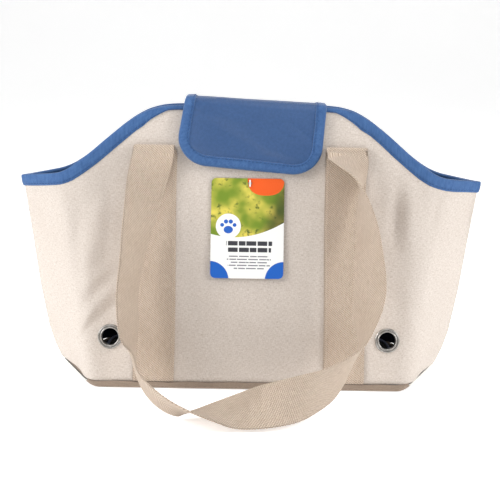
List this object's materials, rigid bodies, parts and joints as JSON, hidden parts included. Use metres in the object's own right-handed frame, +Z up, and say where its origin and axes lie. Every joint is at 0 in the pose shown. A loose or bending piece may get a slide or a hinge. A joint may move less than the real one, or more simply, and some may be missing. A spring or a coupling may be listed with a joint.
{
  "type": "pet carrier bag",
  "caption": "Open-topped canvas pet carrier tote with a padded closing flap, bound wavy top edge, webbing handles and vent eyelets.",
  "frame": {"origin": "centre of the underside of the base, where the bag rests", "axes": "+X along the long side, -Y out of the front (the side with the hang tag), +Z up"},
  "size_m": [0.4714, 0.3864, 0.2832],
  "materials": {
    "canvas": "natural linen-look canvas",
    "base_canvas": "natural canvas of the base",
    "webbing": "twill-woven natural webbing",
    "binding": "matte blue twill tape",
    "flap_cloth": "satin blue cloth",
    "lining": "dark navy lining",
    "foam": "sheet padding",
    "board": "stiff sheet",
    "cushion": "padded cushion cover",
    "eyelet": "satin nickel",
    "touch_tape": "hook and loop tape",
    "tag_card": "coated card",
    "tag_pin": "clear-white plastic"
  },
  "bodies": {
    "bag": {"front_panel": "canvas", "back_panel": "canvas", "base_panel": "base_canvas", "front_padding": "foam", "back_padding": "foam", "base_padding": "foam", "front_lining": "lining", "back_lining": "lining", "base_lining": "lining", "base_board": "board", "base_cushion": "cushion", "front_binding": "binding", "back_binding": "binding", "front_strap_left": "webbing", "front_strap_right": "webbing", "back_strap_left": "webbing", "back_strap_right": "webbing", "eyelets": "eyelet", "eyelet_washers": "eyelet", "front_loop_patch": "touch_tape", "swing_tag_pin": "tag_pin"},
    "flap": {"flap_shell": "flap_cloth", "flap_padding": "foam", "flap_lining": "lining", "flap_binding": "binding", "flap_hook_patch": "touch_tape"},
    "front_handle": {"front_handle": "webbing"},
    "back_handle": {"back_handle": "webbing"},
    "tag": {"swing_tag": "tag_card"}
  },
  "joints": [
    {"name": "flap_hinge", "type": "hinge", "parent": "bag", "child": "flap", "pos_m": [0, 0.0185, 0.274], "axis": [-1, 0, 0], "range_deg": [0, 200]},
    {"name": "front_handle_swing", "type": "hinge", "parent": "bag", "child": "front_handle", "pos_m": [0, -0.02568, 0.23493], "axis": [-1, 0, 0], "range_deg": [0, 120]},
    {"name": "back_handle_swing", "type": "hinge", "parent": "bag", "child": "back_handle", "pos_m": [0, 0.02568, 0.23493], "axis": [1, 0, 0], "range_deg": [0, 120]},
    {"name": "tag_swing", "type": "hinge", "parent": "bag", "child": "tag", "pos_m": [-0.001, -0.02978, 0.19995], "axis": [0, -0.9742, 0.2258], "range_deg": [-15, 15]}
  ]
}
